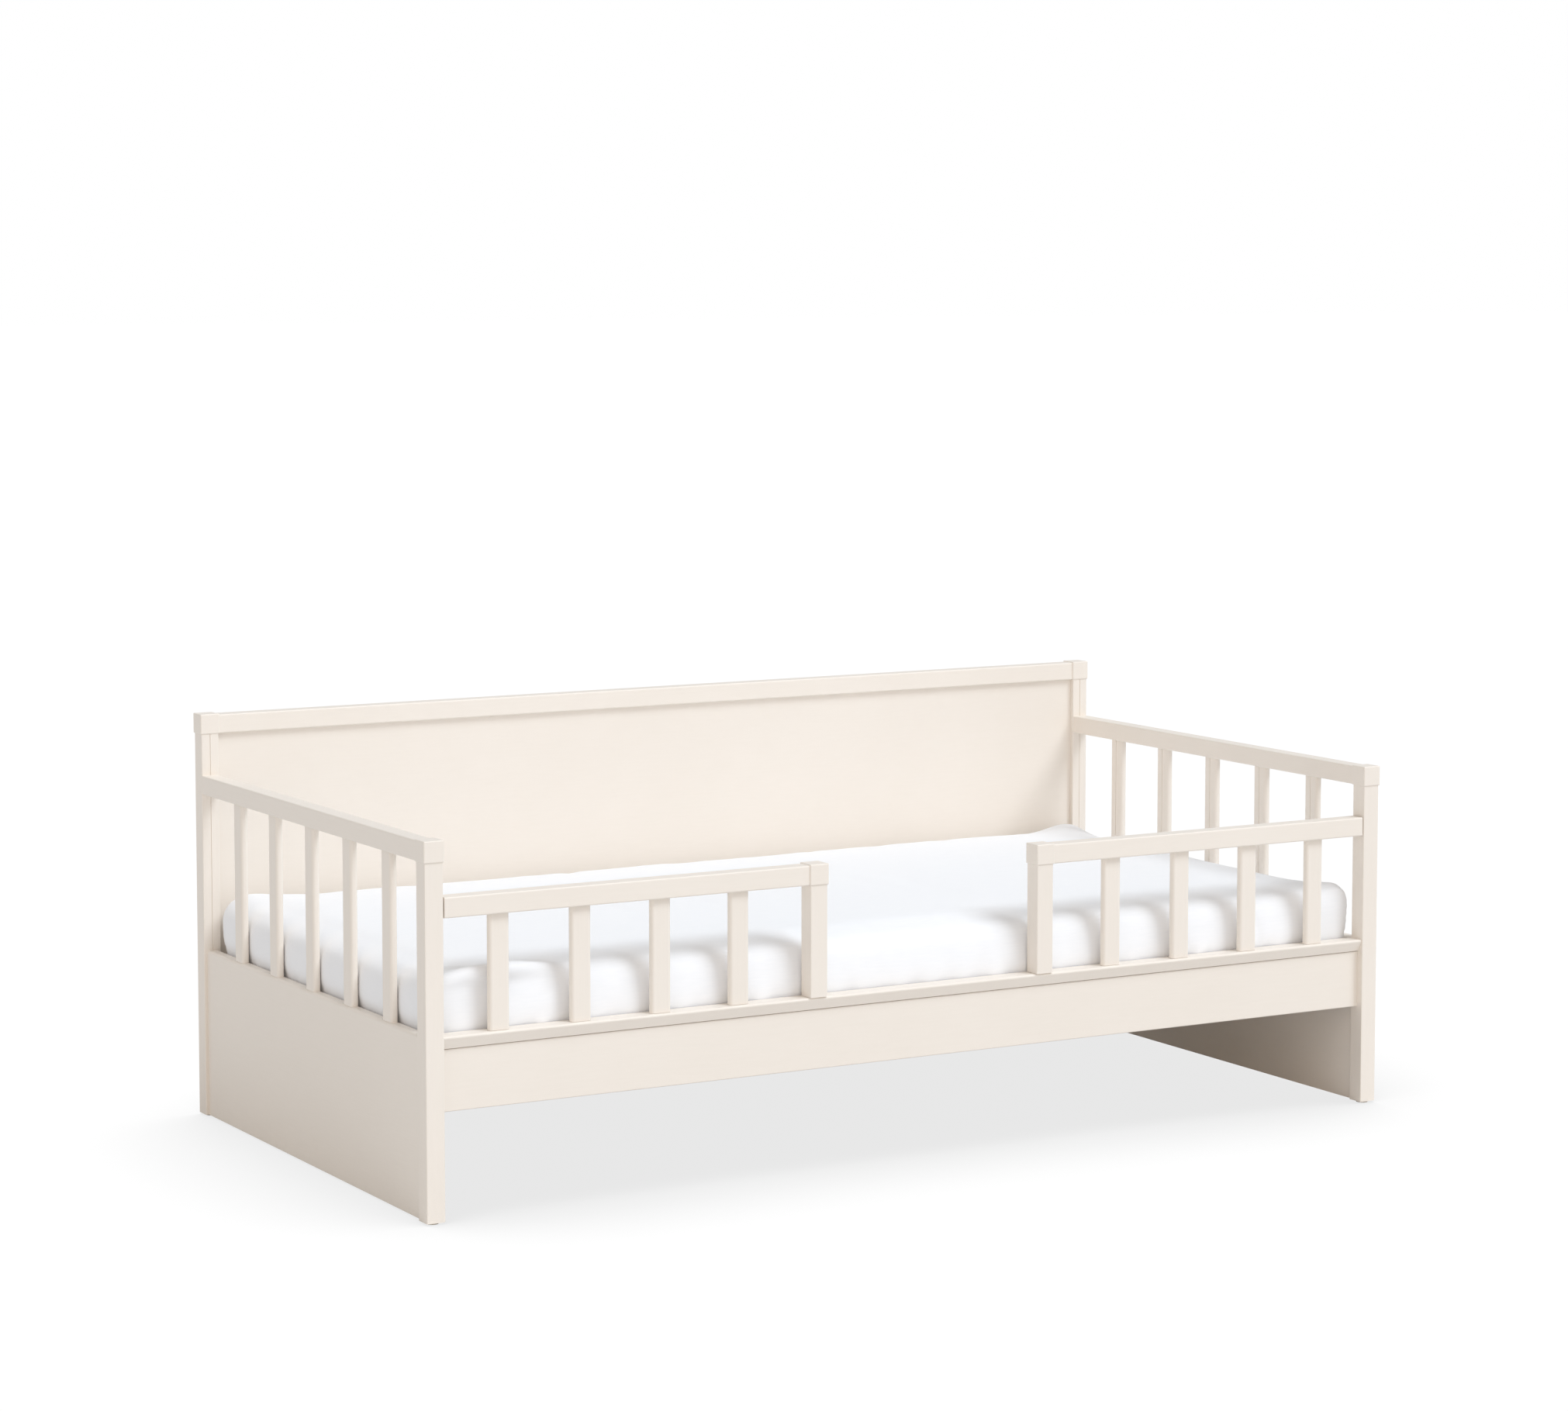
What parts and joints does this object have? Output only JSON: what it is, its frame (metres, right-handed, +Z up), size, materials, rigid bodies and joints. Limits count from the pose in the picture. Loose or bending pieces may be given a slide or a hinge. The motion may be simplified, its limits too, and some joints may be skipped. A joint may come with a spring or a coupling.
{
  "type": "toddler bed",
  "caption": "Low painted wooden toddler bed with a panelled back, spindle ends, lift-off front guards beside an entry gap, and a mattress in a fitted sheet.",
  "frame": {"origin": "on the floor, under the middle of the bed", "axes": "+X along the bed's length, -Y towards the front with the entry gap, +Z up"},
  "size_m": [1.4628, 0.7528, 0.559],
  "materials": {
    "cream_paint": "satin cream paint over wood",
    "bare_wood": "bare sanded beech",
    "steel": "zinc plated",
    "glide_plastic": "matte",
    "sheet_fabric": "plain woven cotton",
    "mattress_ticking": "woven ticking"
  },
  "bodies": {
    "frame": {"rear_left_post": "cream_paint", "rear_right_post": "cream_paint", "front_left_post": "cream_paint", "front_right_post": "cream_paint", "rear_left_cap": "cream_paint", "rear_right_cap": "cream_paint", "front_left_cap": "cream_paint", "front_right_cap": "cream_paint", "back_top_rail": "cream_paint", "back_panel": "cream_paint", "back_bottom_rail": "cream_paint", "left_arm_rail": "cream_paint", "right_arm_rail": "cream_paint", "left_end_panel": "cream_paint", "right_end_panel": "cream_paint", "left_end_slat_1": "cream_paint", "left_end_slat_2": "cream_paint", "left_end_slat_3": "cream_paint", "left_end_slat_4": "cream_paint", "left_end_slat_5": "cream_paint", "right_end_slat_1": "cream_paint", "right_end_slat_2": "cream_paint", "right_end_slat_3": "cream_paint", "right_end_slat_4": "cream_paint", "right_end_slat_5": "cream_paint", "front_ledge": "cream_paint", "front_apron": "cream_paint", "front_cleat": "bare_wood", "rear_cleat": "bare_wood", "base_slats": "bare_wood", "rail_dowels": "bare_wood", "board_dowels": "bare_wood", "panel_dowels": "bare_wood", "corner_brackets": "steel", "bracket_screws": "steel", "cleat_screws": "steel", "base_slat_screws": "steel", "post_glides": "glide_plastic"},
    "mattress": {"mattress_core": "mattress_ticking", "fitted_sheet": "sheet_fabric"},
    "left_guard": {"left_guard_rail": "cream_paint", "left_guard_post": "cream_paint", "left_guard_cap": "cream_paint", "left_guard_slat_1": "cream_paint", "left_guard_slat_2": "cream_paint", "left_guard_slat_3": "cream_paint", "left_guard_slat_4": "cream_paint", "left_guard_pins": "steel", "left_guard_dowel": "bare_wood"},
    "right_guard": {"right_guard_rail": "cream_paint", "right_guard_post": "cream_paint", "right_guard_cap": "cream_paint", "right_guard_slat_1": "cream_paint", "right_guard_slat_2": "cream_paint", "right_guard_slat_3": "cream_paint", "right_guard_slat_4": "cream_paint", "right_guard_pins": "steel", "right_guard_dowel": "bare_wood"}
  },
  "joints": [
    {"name": "mattress_lift", "type": "slide", "parent": "frame", "child": "mattress", "axis": [0, 0, 1], "range_m": [0, 0.45]},
    {"name": "left_guard_lift", "type": "slide", "parent": "frame", "child": "left_guard", "axis": [0, 0, 1], "range_m": [0, 0.36]},
    {"name": "right_guard_lift", "type": "slide", "parent": "frame", "child": "right_guard", "axis": [0, 0, 1], "range_m": [0, 0.36]}
  ]
}
